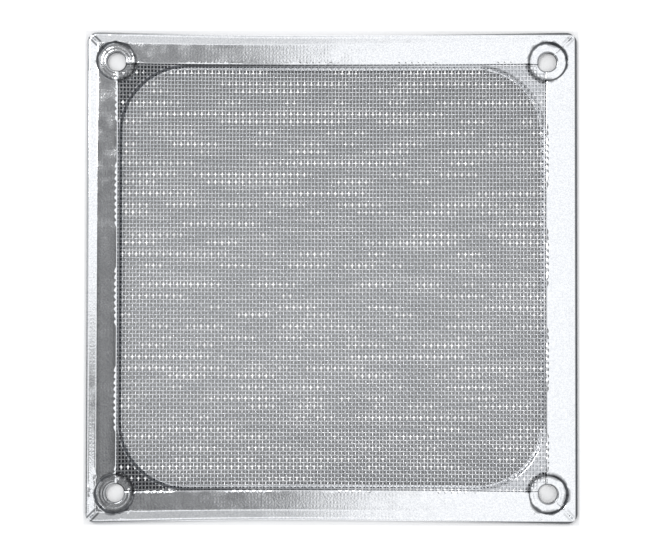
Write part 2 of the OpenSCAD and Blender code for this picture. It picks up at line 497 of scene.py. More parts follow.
@dataclass
class FoldedFrame:
    """The frame of folded sheet: a face plate, a rolled outer edge and four flaps."""

    form: GuardForm
    run_pitch: float = 1.6
    end_gap: float = 0.3
    least_radius: float = 0.05
    corner_steps: int = 12
    ring_points: int = 72
    roll_steps: int = 12
    opening_side: int = 41
    opening_corner: int = 33
    # Rows of points along the bends: the first, the limit and the pitch. In a seat the first counts
    # from the hole and the limit from the seat's edge, and at the step the first from the rim
    seat_rows: Span = (0.1, 0.2, 0.1)
    bevel_rows: Span = (0.8, 2.95, 0.15)
    step_rows: Span = (0.12, 17.3, 0.11)
    # Rows of points beside a flap's inner edge, by distance from it
    lip_rows: Span = (0.1, 0.2, 0.4, 0.7, 1.1, 1.6, 2.2)
    # The net on the flats, and how far it keeps from the edge, the opening's core and the seats
    net_pitch: float = 1.5
    net_inset: float = 3.1
    net_core: float = 17.5
    net_seat: float = 0.5
    flap_gap: float = 0.05
    # Half the seam between two flaps, by distance from the screw hole's middle along the diagonal
    seam_places: Span = (2.25, 3.9, 4.9, 6.4, 7.4, 8.5)
    seam_halves: Span = (0.13, 0.12, 0.05, 0.04, 0.12, 0.26)
    seam_points: int = 26
    seam_gap: float = 0.1
    hole_points: int = 32

    def quarter(self, inset: float) -> np.ndarray:
        """Runs up the right side, from one corner's diagonal to the next.

        Args:
            inset: Distance from the outer edge.

        Returns:
            Rows of X and Y, without the last corner.
        """
        form = self.form
        centre, radius = form.half - form.corner_r, form.corner_r - inset
        reach = form.half - inset
        side = np.linspace(-centre, centre, round(2 * centre / self.run_pitch) + 1)
        if radius <= self.least_radius:
            side = side[np.abs(side) < reach - self.end_gap]
            return upright(reach, np.array([-reach, *side]))
        gap = self.seam_halves[-1] if inset == form.roll_r else 0
        arc = np.linspace(-math.pi / 4 + math.asin(gap / radius), 0, self.corner_steps)
        low = radius * round_about(arc) + [centre, -centre]
        high = low[::-1] * [1, -1]
        return np.concatenate([low, upright(reach, side[1:-1]), high if gap else high[:-1]])

    def outline(self, inset: float) -> np.ndarray:
        """Runs all round the frame at a distance from its outer edge."""
        return np.concatenate([quarter_turns(self.quarter(inset), turn) for turn in range(4)])

    def ring(self, radius: float, corner: tuple[int, int] = (1, 1)) -> np.ndarray:
        """Gives points on a circle about the middle of a screw hole, whose corner has these signs."""
        turn = np.linspace(0, 2 * math.pi, self.ring_points, endpoint=False)
        return self.form.hole_at * np.array(corner) + radius * round_about(turn)

    def opening_loop(self, dist: float) -> np.ndarray:
        """Runs round the opening at a distance from its core.

        Args:
            dist: The distance.

        Returns:
            Rows of X and Y.
        """
        at = self.form.opening_at
        side = np.linspace(-at, at, self.opening_side + 1)[:-1]
        arc = np.linspace(0, math.pi / 2, self.opening_corner + 1)[:-1]
        run = np.concatenate([upright(at + dist, side), at + dist * round_about(arc)])
        return np.concatenate([quarter_turns(run, turn) for turn in range(4)])

    def inner_side(self) -> np.ndarray:
        """Gives the places along a flap's inner edge, between its screw holes.

        Returns:
            The places, from the upper hole to the lower one.
        """
        form = self.form
        end = form.hole_at - math.sqrt(form.hole_r**2 - (form.hole_at - form.flap_half) ** 2)
        return np.linspace(end, -end, round(2 * end / self.run_pitch) + 1)[1:-1]

    def seeds(self) -> tuple[np.ndarray, np.ndarray]:
        """Gives the points inside the blanks: close rows along every bend and a net on flats.

        Returns:
            The points for the face plate, and those for the right flap.
        """
        form = self.form
        after, limit, pitch = self.seat_rows
        rings = [
            self.ring(radius, corner)
            for corner in ((1, 1), (-1, 1), (-1, -1), (1, -1))
            for radius in np.arange(form.hole_r + after, form.seat_r + limit, pitch)
        ]
        bevel = [self.outline(inset) for inset in np.arange(*self.bevel_rows)]
        after, limit, pitch = self.step_rows
        step = [self.opening_loop(dist) for dist in np.arange(form.rim_r + after, limit, pitch)]
        across = np.arange(-form.half, form.half, self.net_pitch)
        net = np.stack(np.meshgrid(across, across), axis=-1).reshape(-1, 2)
        clear = (form.inset(net) > self.net_inset) & (form.from_core(net) > self.net_core)
        net = net[clear & (form.from_hole(net) > form.seat_r + self.net_seat)]
        lip = [upright(form.flap_half + away, self.inner_side()) for away in self.lip_rows]
        flap = np.concatenate([*rings, *bevel, *lip, net])
        return np.concatenate([*rings, *bevel, *step, net]), flap[flap[:, 0] > form.flap_half + self.flap_gap]

    def flap_loop(self) -> np.ndarray:
        """Gives the outline of the right flap, up the rolled edge and back by the inner edge.

        Returns:
            Rows of X and Y.
        """
        form = self.form
        hole, outer = form.hole_at, self.quarter(form.roll_r)
        places, halves = self.seam_places, self.seam_halves
        middle = np.linspace(places[0], places[-1], self.seam_points)[1:-1]
        middle = middle[middle < np.linalg.norm(outer[-1] - hole) - self.seam_gap]
        off = np.interp(middle, places, halves)
        diagonal, aside = np.array([1, 1]) / math.sqrt(2), np.array([1, -1]) / math.sqrt(2)
        seam = hole + middle[:, None] * diagonal + off[:, None] * aside
        first = math.pi / 4 - math.asin(halves[0] / form.hole_r)
        last = -math.acos((form.flap_half - hole) / form.hole_r)
        arc = hole + form.hole_r * round_about(np.linspace(first, last, self.hole_points))
        arc[-1, 0] = form.flap_half
        top = np.concatenate([seam[::-1], arc])
        inner = upright(form.flap_half, self.inner_side())
        return np.concatenate([outer, top, inner, top[::-1] * [1, -1]])

    def add_roll(self, parts: MeshParts) -> None:
        """Adds the half round that turns the sheet back on itself along the outer edge.

        Args:
            parts: The mesh's parts.
        """
        form = self.form
        line = self.outline(form.roll_r)
        centre = form.half - form.corner_r
        out = np.sign(line) * np.maximum(np.abs(line) - centre, 0)
        out /= np.linalg.norm(out, axis=1, keepdims=True)
        turn = np.linspace(math.pi / 2, -math.pi / 2, self.roll_steps + 1)
        count, rows = len(line), self.roll_steps + 1
        shells = []
        for radius in (form.roll_r, form.roll_r - form.sheet_t):
            flat = line[:, None] + radius * np.cos(turn)[None, :, None] * out[:, None]
            high = np.broadcast_to(form.roll_r + radius * np.sin(turn), (count, rows))
            shells.append(np.concatenate([flat, high[..., None]], axis=2).reshape(-1, 3))
        faces = []
        for i in range(count):
            here, after = i * rows, (i + 1) % count * rows
            for j in range(self.roll_steps):
                outer = (here + j + 1, after + j + 1, after + j, here + j)
                faces += [outer, tuple(v + count * rows for v in reversed(outer))]
            if (i + 1) % (count // 4) == 0:
                faces.append((here, here + count * rows, after + count * rows, after)[::-1])
        parts.add(np.concatenate(shells), faces)

    def build(self, sheet: bpy.types.Material) -> bpy.types.Object:
        """Builds the frame and dresses it.

        Args:
            sheet: The finish of the sheet.

        Returns:
            The finished piece.
        """
        form, parts = self.form, MeshParts()
        plate_seeds, flap_seeds = self.seeds()
        holes = [quarter_turns(self.ring(form.hole_r), turn) for turn in range(4)]
        loops = [self.outline(form.roll_r), self.opening_loop(form.rim_r), *holes]
        SheetPatch(loops, plate_seeds, form.plate_mid).lay(parts, form)
        SheetPatch([self.flap_loop()], flap_seeds, form.flap_mid).lay(parts, form, range(4))
        self.add_roll(parts)
        mesh = parts.to_mesh("folded_frame", form)
        mesh.materials.append(sheet)
        return place(mesh, ["frame"], Slot.SHEET)


class Slot(Enum):
    """The record's material slots."""

    SHEET = "frame_sheet"
    WIRE = "mesh_wire"


def place(mesh: bpy.types.Mesh, nodes: Sequence[str], slot: Slot) -> bpy.types.Object:
    """Makes a finished mesh a piece of the guard.

    Args:
        mesh: The mesh, which is where it belongs.
        nodes: The CAD nodes that the piece stands for.
        slot: The material slot that it takes its finish from. It is not used.

    Returns:
        The piece.
    """
    piece = put(mesh.name, mesh)
    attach(piece, "root")
    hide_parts(*nodes)
    LOG.info("%s: %d faces", piece.name, len(mesh.polygons))
    return piece


class Layer(Enum):
    """The two directions of the cloth's wires."""

    WARP = "warp_wires"
    WEFT = "weft_wires"


@dataclass
class WireCloth:
    """The cloth of plain-woven wire, made by Geometry Nodes."""

    form: GuardForm
    warp_pitch: float = 0.833
    weft_pitch: float = 0.922
    warp_count: int = 67
    weft_count: int = 61
    wire_r: float = 0.134
    wave: float = 0.13
    # Half the flat of a crown, as a share of the way to the next crossing
    knuckle: float = 0.2
    punch_r: float = 2.65
    drift: float = 0.09
    # The drift's noise, by scale per metre and detail
    drift_noise: Span = (90.0, 1.0)
    wire_sides: int = 5

    SOCKETS = {
        int: "NodeSocketInt",
        float: "NodeSocketFloat",
        bool: "NodeSocketBool",
        bpy.types.Material: "NodeSocketMaterial",
    }

    def tree(self, sizes: dict[str, Any]) -> bpy.types.GeometryNodeTree:
        """Builds the node tree that weaves a band of wires.

        Args:
            sizes: Inputs for one band, which give the tree's inputs their names and kinds.

        Returns:
            The tree.
        """
        tree = bpy.data.node_groups.new("woven_layer", "GeometryNodeTree")
        for name, size in sizes.items():
            tree.interface.new_socket(name=name, in_out="INPUT", socket_type=self.SOCKETS[type(size)])
        tree.interface.new_socket(name="Geometry", in_out="OUTPUT", socket_type="NodeSocketGeometry")
        add = partial(add_node, tree)
        given = add("NodeGroupInput").outputs

        # One long run of points, cut into wires, with two points at each crossing
        per_wire = add(MATHS, [given["Crossing Reach"], 4, 2], "MULTIPLY_ADD")
        total = add(MATHS, [per_wire, given["Wire Count"]], "MULTIPLY")
        line = add("GeometryNodeMeshLine", {"Count": total})
        index = add("GeometryNodeInputIndex")
        wires = []
        ends = add("GeometryNodeInputMeshEdgeVertices").outputs
        for point in (index, ends["Vertex Index 1"], ends["Vertex Index 2"]):
            share = add(MATHS, [point, per_wire], "DIVIDE")
            wires.append(add(MATHS, [share], "FLOOR"))
        link = add(MATHS, [wires[2], wires[1]], "GREATER_THAN")
        cut = add(
            "GeometryNodeDeleteGeometry", {"Geometry": line, "Selection": link},
            domain="EDGE", mode="EDGE_FACE",
        )

        # Where a point lies along its wire and across the cloth
        spot = add(MATHS, [index, per_wire], "MODULO")
        half_spot = add(MATHS, [spot, 2], "DIVIDE")
        crossing = add(MATHS, [half_spot], "FLOOR")
        counted = add(MATHS, [crossing, given["Crossing Reach"]], "SUBTRACT")
        second = add(MATHS, [spot, 2], "MODULO")
        side = add(MATHS, [second, 2, -1], "MULTIPLY_ADD")
        beside = add(MATHS, [side, given["Knuckle"], counted], "MULTIPLY_ADD")
        along = add(MATHS, [beside, given["Crossing Spacing"]], "MULTIPLY")
        number = add(MATHS, [wires[0], given["First Wire"]], "ADD")
        across = add(MATHS, [number, given["Wire Spacing"]], "MULTIPLY")
        weft, warp = (add(JOIN, {"X": x, "Y": y}) for x, y in ((along, across), (across, along)))
        ways = {"Switch": given["Along X"], "False": warp, "True": weft}
        flat = add("GeometryNodeSwitch", ways, input_type="VECTOR")

        # Over one wire and under the next: a large even number keeps the sum above 0
        together = add(MATHS, [number, counted], "ADD")
        shifted = add(MATHS, [together, 1000], "ADD")
        odd = add(MATHS, [shifted, 2], "MODULO")
        over = add(MATHS, [odd, -2, 1], "MULTIPLY_ADD")
        woven = add(MATHS, [over, given["Wave Height"]], "MULTIPLY")

        # Down the step into the opening, and down into the screw seats
        quarter = add(VECTOR_MATHS, [flat], "ABSOLUTE")
        core, hole = (add(JOIN, {"X": given[at], "Y": given[at]}) for at in ("Opening Core", "Hole Place"))
        from_hole = add(VECTOR_MATHS, [quarter, hole], "DISTANCE")
        height = given["Level"]
        for name, gap in (("Step", beyond_square(add, quarter, core)), ("Seat", from_hole)):
            drop = {
                "Value": gap, "From Min": given[f"{name} Foot"], "From Max": given[f"{name} Top"],
                "To Min": given[f"{name} Depth"], "To Max": 0,
            }
            fall = add(RANGE, drop, interpolation_type="SMOOTHSTEP")
            height = add(MATHS, [height, fall], "SUBTRACT")
        height = add(MATHS, [height, woven], "ADD")

        # The slow wander that hand-set cloth has, the same for both layers
        noise = add(NOISE, [flat, *self.drift_noise])
        centred = add(VECTOR_MATHS, [noise.outputs["Color"], (0.5, 0.5, 0.5)], "SUBTRACT")
        drift = add(VECTOR_MATHS, [centred, given["Drift"]], "SCALE")
        lifted = add(VECTOR_MATHS, [flat, add(JOIN, {"Z": height})], "ADD")
        wandered = add(VECTOR_MATHS, [lifted, drift], "ADD")
        laid = add("GeometryNodeSetPosition", {"Geometry": cut, "Position": wandered})
        inside = add(MATHS, [from_hole, given["Punch Radius"]], "LESS_THAN")
        punched = add(
            "GeometryNodeDeleteGeometry", {"Geometry": laid, "Selection": inside},
            domain="POINT", mode="ALL",
        )

        # Round wire along each run
        curves = add("GeometryNodeMeshToCurve", {"Mesh": punched})
        section = add(
            "GeometryNodeCurvePrimitiveCircle",
            {"Resolution": given["Wire Sides"], "Radius": given["Wire Radius"]}, mode="RADIUS",
        )
        runs = {"Curve": curves, "Profile Curve": section, "Fill Caps": True}
        tubes = add("GeometryNodeCurveToMesh", runs)
        rounded = add("GeometryNodeSetShadeSmooth", {"Geometry": tubes, "Shade Smooth": True})
        real = add("GeometryNodeRealizeInstances", {"Geometry": rounded})
        dressed = add("GeometryNodeSetMaterial", {"Geometry": real, "Material": given["Finish"]})
        add("NodeGroupOutput", {"Geometry": dressed})
        return tree

    def sizes(self, layer: Layer, first: int, count: int, finish: bpy.types.Material) -> dict[str, Any]:
        """Works out the tree's inputs for a band of one layer.

        Args:
            layer: The direction of the wires.
            first: Number of the band's first wire, counted from the middle.
            count: How many wires the band has.
            finish: The wire's finish.

        Returns:
            The inputs by name, in metres.
        """
        form, weft = self.form, layer is Layer.WEFT
        seat_top = form.seat_r - form.seat_shift * form.cloth_mid
        step_top = form.opening_r - form.step_shift * form.cloth_mid
        lengths = {
            "Wire Spacing": self.weft_pitch if weft else self.warp_pitch,
            "Crossing Spacing": self.warp_pitch if weft else self.weft_pitch,
            "Wave Height": -self.wave if weft else self.wave,
            "Wire Radius": self.wire_r,
            "Level": form.cloth_mid + form.raise_h,
            "Opening Core": form.opening_at,
            "Step Top": step_top,
            "Step Foot": step_top - form.step_w,
            "Step Depth": form.step_h,
            "Hole Place": form.hole_at,
            "Punch Radius": self.punch_r,
            "Seat Top": seat_top,
            "Seat Foot": seat_top - form.seat_wall_w,
            "Seat Depth": form.raise_h,
            "Drift": self.drift,
        }
        others = {
            "First Wire": first,
            "Wire Count": count,
            "Crossing Reach": self.warp_count if weft else self.weft_count,
            "Along X": weft,
            "Knuckle": self.knuckle,
            "Wire Sides": self.wire_sides,
            "Finish": finish,
        }
        return {**{name: length * MM for name, length in lengths.items()}, **others}

    def weave(self, name: str, tree: bpy.types.GeometryNodeTree, inputs: dict[str, Any]) -> bpy.types.Mesh:
        """Runs the tree once and keeps its result as a plain mesh.

        Args:
            name: Name of the mesh.
            tree: The tree that weaves.
            inputs: Values of its inputs by name.

        Returns:
            The mesh.
        """
        carrier = put("loom", bpy.data.meshes.new("loom"))
        modifier = carrier.modifiers.new("weave", "NODES")
        modifier.node_group = tree
        for item in tree.interface.items_tree:
            if item.in_out == "INPUT":
                modifier[item.identifier] = inputs[item.name]
        graph = bpy.context.evaluated_depsgraph_get()
        mesh = bpy.data.meshes.new_from_object(carrier.evaluated_get(graph))
        carrier.modifiers.remove(modifier)
        bpy.data.objects.remove(carrier)
        points = np.empty(len(mesh.vertices) * 3, dtype=np.float32)
        mesh.vertices.foreach_get("co", points)
        bowed = self.form.bowed(points.reshape(-1, 3) / MM) * MM
        mesh.vertices.foreach_set("co", bowed.astype(np.float32).reshape(-1))
        mesh.update()
        mesh.name = name
        return mesh

    def build(self, wire: bpy.types.Material) -> list[bpy.types.Object]:
        """Weaves both layers, each in two bands.

        Args:
            wire: The wire's finish.

        Returns:
            The finished pieces.
        """
        warps, wefts = self.warp_count, self.weft_count
        bands = {
            "warp_wires_left": (Layer.WARP, -warps, warps),
            "warp_wires_right": (Layer.WARP, 0, warps + 1),
            "weft_wires_lower": (Layer.WEFT, -wefts, wefts),
            "weft_wires_upper": (Layer.WEFT, 0, wefts + 1),
        }
        inputs = {name: self.sizes(*band, wire) for name, band in bands.items()}
        tree = self.tree(inputs["warp_wires_left"])
        return [
            place(self.weave(name, tree, inputs[name]), [band[0].value], Slot.WIRE)
            for name, band in bands.items()
        ]


class MaterialTree:
    """A material under way, with nodes that tell where a point lies on the guard, in millimetres."""

    def __init__(self, name: str) -> None:
        """Starts the material.

        Args:
            name: Its name.
        """
        self.material = bpy.data.materials.new(name)
        self.material.use_nodes = True
        self.material.node_tree.nodes.clear()
        self.add = partial(add_node, self.material.node_tree)
        source = self.add("ShaderNodeTexCoord").outputs["Object"]
        self.spot = self.add("ShaderNodeMapping", {"Vector": source, "Scale": (1 / MM,) * 3})
        self.x, self.y, self.z = self.add(PARTS, [self.spot]).outputs

    def from_above(self, hole_at: float) -> tuple[bpy.types.Node, ...]:
        """Adds the nodes that look at a point from straight above.

        Args:
            hole_at: Where the screw holes are, along X and Y.

        Returns:
            Its place with Z at 0, that place moved to the first quarter, and its distance from
            the middle of the nearest screw hole.
        """
        level = self.add(VECTOR_MATHS, [self.spot, (1, 1, 0)], "MULTIPLY")
        quarter = self.add(VECTOR_MATHS, [level], "ABSOLUTE")
        return level, quarter, self.add(VECTOR_MATHS, [quarter, (hole_at, hole_at, 0)], "DISTANCE")


@dataclass(frozen=True)
class RolledSheet:
    """The finish of the frame: rolled aluminium sheet, pressed and folded over the cloth."""

    form: GuardForm
    cloth: WireCloth
    pale: str = "#f6f7f8"
    dull: str = "#e4e6e9"
    # Colour of the painted shade on seat walls, hole rims, the rolled edge and corner creases
    painted_shade: str = "#34373b"
    # Painted shade on the face plate under the cloth, darker on the left than on the right
    shade_under_left: str = "#505357"
    shade_under_right: str = "#b8babd"
    # Noises by scale, per millimetre, and detail
    noises: tuple[Span, ...] = ((0.35, 3.0), (2.6, 2.0), (0.11, 1.0))
    # How deep the wide dents, the mottle and the wires' dimples are
    dent_depth: float = 0.028
    mottle_depth: float = 0.0085
    dimple_depth: float = 0.0012
    dimpled: Span = (0.42, 0.62, 0.15, 1.0)
    grain: Span = (0.38, 0.66)
    rough: Span = (0.35, 0.7, 0.06, 0.14)
    # The painted dark band on a seat's wall: where it is, half its width by the blotches, and its strength
    wall_at: float = 4.6
    wall_halves: Span = (0.42, 0.6, 0.3, 1.0)
    wall: Span = (0.15, 0.0, 0.95)
    # Where the painted shade lies on the hole rims, the rolled edge and the corner creases, and its strength
    # from left to right
    rim: Span = (2.65, 2.5, 0.0, 0.7)
    roll: Span = (58.95, 59.2)
    roll_dark: Span = (-59.7, 59.7, 0.55, 0.92)
    fold_off: float = 0.9
    fold: Span = (0.5, 0.15)
    fold_start: Span = (112.6, 113.6)
    fold_dark: Span = (-59.7, 59.7, 0.8, 0.25)
    step_foot: float = 15.9
    plate: Span = (0.9, 1.6)

    def material(self) -> bpy.types.Material:
        """Builds the material.

        Returns:
            The material.
        """
        # Bright rolled aluminium is a slightly milky mirror: the rolls' mottle blurs what it
        # shows, and patches of small dimples tell of the wires below
        tree = MaterialTree("rolled_aluminium_sheet")
        add, form, x = tree.add, self.form, tree.x
        _, quarter, from_hole = tree.from_above(form.hole_at)
        blotch, mottle, dent = (add(NOISE, [tree.spot, *noise]) for noise in self.noises)
        ridges = []
        for along, pitch in ((x, self.cloth.warp_pitch), (tree.y, self.cloth.weft_pitch)):
            turn = add(MATHS, [along, 2 * math.pi / pitch], "MULTIPLY")
            wave = add(MATHS, [turn], "COSINE")
            ridges.append(add(MATHS, [wave, 1.0], "ADD"))
        dimple = add(MATHS, ridges, "MULTIPLY")
        pressed = add(MATHS, [dimple, add(RANGE, [blotch, *self.dimpled])], "MULTIPLY")
        normal = None
        depths = ((dent, self.dent_depth), (mottle, self.mottle_depth), (pressed, self.dimple_depth))
        for height, depth in depths:
            marks = {"Strength": 1.0, "Distance": depth * MM, "Height": height, "Normal": normal}
            normal = add("ShaderNodeBump", marks)

        # Painted shade: the walls of the screw seats, in blotches, the rims of the holes and the rolled edge,
        # darker to the right, are painted dark
        half = add(RANGE, [blotch, *self.wall_halves])
        wall = add(RANGE, [off_mark(add, from_hole, self.wall_at), half, *self.wall])
        right, up, _ = add(PARTS, [quarter]).outputs
        reach = add(MATHS, [right, up], "MAXIMUM")
        edge = [add(RANGE, [reach, *self.roll]), add(RANGE, [x, *self.roll_dark])]

        # So are the two creases beside the mitre of each corner, darker to the left
        both = add(MATHS, [right, up], "ADD")
        aside = off_mark(add, right, up)
        near_fold = add(RANGE, [off_mark(add, aside, self.fold_off), *self.fold])
        on_fold = [near_fold, add(RANGE, [x, *self.fold_dark])]
        fold = [
            add(MATHS, on_fold, "MULTIPLY"), add(RANGE, [both, *self.fold_start]),
        ]
        dark = add(MATHS, [wall, add(RANGE, [from_hole, *self.rim])], "MAXIMUM")
        for shares in (edge, fold):
            share = add(MATHS, shares, "MULTIPLY")
            dark = add(MATHS, [dark, share], "MAXIMUM")

        # Painted shade: the face plate is painted darker where the cloth lies over it, darkest on the left
        core = (form.opening_at, form.opening_at, 0)
        low, high = self.plate
        covered = 1.0
        for value, test, limit in (
            (beyond_square(add, quarter, core), "GREATER_THAN", self.step_foot),
            (reach, "LESS_THAN", form.flap_half), (tree.z, "GREATER_THAN", low), (tree.z, "LESS_THAN", high),
        ):
            passed = add(MATHS, [value, limit], test)
            covered = add(MATHS, [covered, passed], "MULTIPLY")
        to_right = add(RANGE, [x, -form.opening_at, form.opening_at])
        left, right = linear(self.shade_under_left), linear(self.shade_under_right)
        under = add(MIX, {"Factor": to_right, "A": left, "B": right}, data_type="RGBA")
        colour, grain = linear(self.pale), add(RANGE, [mottle, *self.grain])
        # Mill grain, then the painted shade under the cloth, then the painted shade on walls, rims, edge and
        # creases
        for share, over in ((grain, linear(self.dull)), (covered, under), (dark, linear(self.painted_shade))):
            colour = add(MIX, {"Factor": share, "A": colour, "B": over}, data_type="RGBA")
        rough = add(RANGE, [blotch, *self.rough])
        shader = add(
            "ShaderNodeBsdfPrincipled",
            {"Base Color": colour, "Metallic": 1.0, "Roughness": rough, "Normal": normal},
        )
        add("ShaderNodeOutputMaterial", {"Surface": shader})
        return tree.material


@dataclass(frozen=True)
class DrawnWire:
    """The finish of the cloth: drawn aluminium wire, with glints and painted shade."""

    form: GuardForm
    cloth: WireCloth
    grey: str = "#d6d8db"
    bright: str = "#eeeff1"
    # Painted shade on the warp crowns
    crown_shade: str = "#8c8f94"
    # White for the painted highlight on the glints
    glint: str = "#ffffff"
    # Painted shade at the top of the step and on the seat walls
    wire_shade: str = "#3a3c40"
    # Each weft wire's own noise, stretched along the wire, and how far apart it is for two wires
    streak: Span = (1.0, 1.0)
    stretch: float = 0.075
    row_apart: float = 7.31
    tone: Span = (0.35, 0.65)
    # Where along a weft wire the glints lie, and the least that counts
    glint_streak: Span = (0.5, 0.62)
    least_glint: float = 0.02
    # One weft wire in every 2.7 has glints, on flats that all lean towards the lamp, with a painted highlight
    glint_share: float = 0.373
    flat_lean: Span = (-0.2, 0.16, 0.97)
    flat_rough: Span = (0.0, 1.0, 0.85, 0.59)
    weft_crown: Span = (-0.45, -0.75)
    warp_crown: Span = (0.1, 0.7, 0.0, 0.2)
    # The drawn skin's noise, by scale per millimetre and detail, and its roughness
    cloud: Span = (0.8, 2.0)
    rough: Span = (0.3, 0.7, 0.24, 0.36)
    step: Span = (15.9, 16.85)
    step_slope: float = 0.53
    pressed: Span = (15.9, 16.2, 0.0, 0.975)
    pressed_rough: float = 0.12
    # Painted shade: where it lies at the top of the step, the width of its band, its strength from left to
    # right, and where and how strongly it lies on the seat walls
    crease_at: float = 16.35
    painted_shade: Span = (0.5, 0.25)
    shade_on_left: Span = (-35.0, 35.0, 0.85, 0.0)
    wall_at: float = 4.7
    wall: Span = (1.0, 0.4, 0.0, 0.8)

    def material(self) -> bpy.types.Material:
        """Builds the material.

        Returns:
            The material.
        """
        # Drawn aluminium is a soft grey with lengthways streaks, with rows of glints: flats leaned to catch
        # the lamp, whitened by a painted highlight
        tree = MaterialTree("drawn_aluminium_wire")
        add, x, at = tree.add, tree.x, self.form.opening_at
        level, _, from_hole = tree.from_above(self.form.hole_at)
        row = add(MATHS, [tree.y, 1 / self.cloth.weft_pitch, 0.5], "MULTIPLY_ADD")
        number = add(MATHS, [row], "FLOOR")

        # Each weft wire has its own run of lengths with and without glints
        along = add(MATHS, [x, self.stretch], "MULTIPLY")
        apart = add(MATHS, [number, self.row_apart], "MULTIPLY")
        own = add(JOIN, {"X": along, "Y": apart})
        streak = add(NOISE, [own, *self.streak])
        glint_streak = add(RANGE, [streak, *self.glint_streak])
        touched = add(MATHS, [glint_streak, self.least_glint], "GREATER_THAN")
        beat = add(MATHS, [number, self.glint_share], "MULTIPLY")
        turn_of = add(MATHS, [beat, 0.0, 1.0], "WRAP")
        chosen = add(MATHS, [turn_of, self.glint_share], "LESS_THAN")
        glint_row = add(MATHS, [touched, chosen], "MULTIPLY")

        # The glints' flats are on the crowns of the weft wires, two warp wires apart, and the crowns of the
        # warp wires between them are painted darker, a painted shade
        step = add(MATHS, [x, 1 / self.cloth.warp_pitch, number], "MULTIPLY_ADD")
        turn = add(MATHS, [step, math.pi], "MULTIPLY")
        wave = add(MATHS, [turn], "COSINE")
        glint = add(MATHS, [glint_row, add(RANGE, [wave, *self.weft_crown])], "MULTIPLY")
        size = add(RANGE, [wave, *self.warp_crown])

        # Between the sheets and down the step the cloth is pressed, so its wires lie like the
        # sheet. Six times the rise's product is the slope of the smooth step that it follows
        low_core = add(VECTOR_MATHS, [level, (-at, -at, 0)], "MAXIMUM")
        core_spot = add(VECTOR_MATHS, [low_core, (at, at, 0)], "MINIMUM")
        out = add(VECTOR_MATHS, [level, core_spot], "SUBTRACT")
        away = add(VECTOR_MATHS, [out], "LENGTH")
        out_way = add(VECTOR_MATHS, [out], "NORMALIZE")
        up_step = add(RANGE, [away, *self.step])
        to_top = add(MATHS, [1.0, up_step], "SUBTRACT")
        product = add(MATHS, [up_step, to_top], "MULTIPLY")
        fall = add(MATHS, [product, -6 * self.step_slope], "MULTIPLY")
        lean = add(VECTOR_MATHS, [out_way, fall], "SCALE")
        pressed_way = add(VECTOR_MATHS, [lean, (0, 0, 1)], "ADD")
        pressed = add(RANGE, [away, *self.pressed])
        normal = add("ShaderNodeNewGeometry").outputs["Normal"]
        rough = add(RANGE, [add(NOISE, [tree.spot, *self.cloud]), *self.rough])
        flat_rough = add(RANGE, [glint_streak, *self.flat_rough])
        for share, way, there in (
            (pressed, pressed_way, self.pressed_rough), (glint, self.flat_lean, flat_rough),
        ):
            normal = add(MIX, {"Factor": share, "A": normal, "B": way}, data_type="VECTOR")
            rough = add(MIX, {"Factor": share, "A": rough, "B": there}, data_type="FLOAT")

        # Painted shade: the wires at the bend at the top of the step, darkest on the left, and on the walls
        # of the seats are painted dark
        in_crease = add(RANGE, [off_mark(add, away, self.crease_at), *self.painted_shade])
        at_step = add(MATHS, [in_crease, add(RANGE, [x, *self.shade_on_left])], "MULTIPLY")
        at_wall = add(RANGE, [off_mark(add, from_hole, self.wall_at), *self.wall])
        painted_wire_shade = add(MATHS, [at_step, at_wall], "MAXIMUM")
        colour, tone = linear(self.grey), add(RANGE, [streak, *self.tone])
        # Streaky tone, painted shade on the warp crowns, the glints' painted highlight, and painted shade at
        # the step and seats
        skins = ((tone, self.bright), (size, self.crown_shade), (glint, self.glint), (painted_wire_shade, self.wire_shade))
        for share, over in skins:
            colour = add(MIX, {"Factor": share, "A": colour, "B": linear(over)}, data_type="RGBA")
        shader = add(
            "ShaderNodeBsdfPrincipled",
            {"Base Color": colour, "Metallic": 1.0, "Roughness": rough, "Normal": normal},
        )
        add("ShaderNodeOutputMaterial", {"Surface": shader})
        return tree.material


@dataclass(frozen=True)
class PaleFloor:
    """The finish of the floor: a board painted matt white."""

    form: GuardForm
    paint: str = "#ececec"
    # Painted shadow of the cloth on the floor within the opening, deeper at the ends
    shaded: str = "#b9b9b9"
    deep_shade: str = "#9c9c9c"
    guard_half: float = 60.0
    lift: Span = (0.0, 1.4, 0.0, 0.5)
    opening: Span = (17.0, 15.0)
    far_end: Span = (0.0, 52.0)
    near_end: Span = (-25.0, -52.0, 0.0, 0.7)
    rough: float = 0.9
    sheen: float = 0.1

    def material(self) -> bpy.types.Material:
        """Builds the material.

        Returns:
            The material.
        """
        # Matt white paint shows soft shadows and no gloss. Away from the guard it looks pure white, and
        # within the opening it is painted darker as a painted shadow of the cloth, deepest at the ends
        tree = MaterialTree("matt_white_board")
        add, half, at = tree.add, self.guard_half, self.form.opening_at
        spot = add(VECTOR_MATHS, [tree.spot], "ABSOLUTE")
        lift = add(RANGE, [beyond_square(add, spot, (half, half, 0)), *self.lift])
        under = add(RANGE, [beyond_square(add, spot, (at, at, 0)), *self.opening])
        ends = [add(RANGE, [tree.y, *end]) for end in (self.far_end, self.near_end)]
        deep = add(MATHS, ends, "ADD")
        pale, dark = linear(self.shaded), linear(self.deep_shade)
        shade = add(MIX, {"Factor": deep, "A": pale, "B": dark}, data_type="RGBA")
        mixed = {"Factor": under, "A": linear(self.paint), "B": shade}
        colour = add(MIX, mixed, data_type="RGBA")
        ray = add("ShaderNodeLightPath").outputs
        seen = add(MATHS, [ray["Is Camera Ray"], ray["Is Glossy Ray"]], "MAXIMUM")
        lit = add(MATHS, [lift, seen], "MULTIPLY")
        shader = add(
            "ShaderNodeBsdfPrincipled",
            {"Base Color": colour, "Roughness": self.rough, "Specular IOR Level": self.sheen,
             "Emission Color": (1, 1, 1, 1), "Emission Strength": lit},
        )
        add("ShaderNodeOutputMaterial", {"Surface": shader})
        return tree.material


